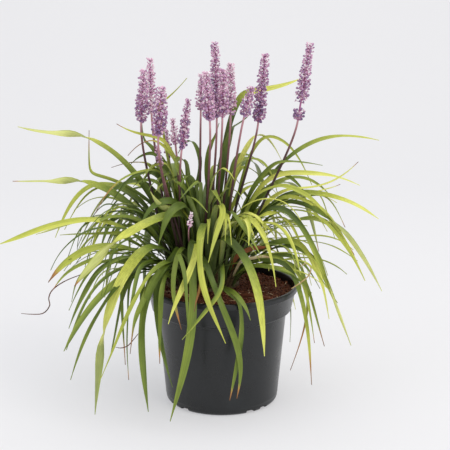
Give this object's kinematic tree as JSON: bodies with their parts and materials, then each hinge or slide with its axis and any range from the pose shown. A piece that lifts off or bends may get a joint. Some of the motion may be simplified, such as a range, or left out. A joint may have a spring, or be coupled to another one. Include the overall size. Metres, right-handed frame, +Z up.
{
  "type": "potted liriope",
  "caption": "Flowering clump of arching strap leaves with upright spikes of small lilac flowers, growing in a round black plastic nursery pot.",
  "frame": {"origin": "centre of the flat base of the pot, on the surface the pot stands on", "axes": "+Z up along the pot's axis, -Y towards the front, +X to the right seen from the front"},
  "size_m": [0.4669, 0.3134, 0.4466],
  "materials": {
    "pot": "satin",
    "soil": "matte",
    "crown": "matte",
    "stem": "satin",
    "flower": "matte",
    "leaf": "satin"
  },
  "bodies": {
    "root": {"pot": "pot", "soil": "soil", "crown": "crown", "flower_stem_01": "stem", "flower_stem_02": "stem", "flower_stem_03": "stem", "flower_stem_04": "stem", "flower_stem_05": "stem", "flower_stem_06": "stem", "flower_stem_07": "stem", "flower_stem_08": "stem", "flower_stem_09": "stem", "flower_stem_10": "stem", "flower_stem_11": "stem", "flower_stem_12": "stem", "flower_stem_13": "stem", "flower_stem_14": "stem", "flower_stem_15": "stem", "flower_stem_16": "stem", "flower_spike_01": "flower", "flower_spike_02": "flower", "flower_spike_03": "flower", "flower_spike_04": "flower", "flower_spike_05": "flower", "flower_spike_06": "flower", "flower_spike_07": "flower", "flower_spike_08": "flower", "flower_spike_09": "flower", "flower_spike_10": "flower", "flower_spike_11": "flower", "flower_spike_12": "flower", "flower_spike_13": "flower", "flower_spike_14": "flower", "flower_spike_15": "flower", "flower_spike_16": "flower", "leaf_01": "leaf", "leaf_02": "leaf", "leaf_03": "leaf", "leaf_04": "leaf", "leaf_05": "leaf", "leaf_06": "leaf", "leaf_07": "leaf", "leaf_08": "leaf", "leaf_09": "leaf", "leaf_10": "leaf", "leaf_11": "leaf", "leaf_12": "leaf", "leaf_13": "leaf", "leaf_14": "leaf", "leaf_15": "leaf", "leaf_16": "leaf", "leaf_17": "leaf", "leaf_18": "leaf", "leaf_19": "leaf", "leaf_20": "leaf", "leaf_21": "leaf", "leaf_22": "leaf", "leaf_23": "leaf", "leaf_24": "leaf", "leaf_25": "leaf"}
  },
  "joints": []
}
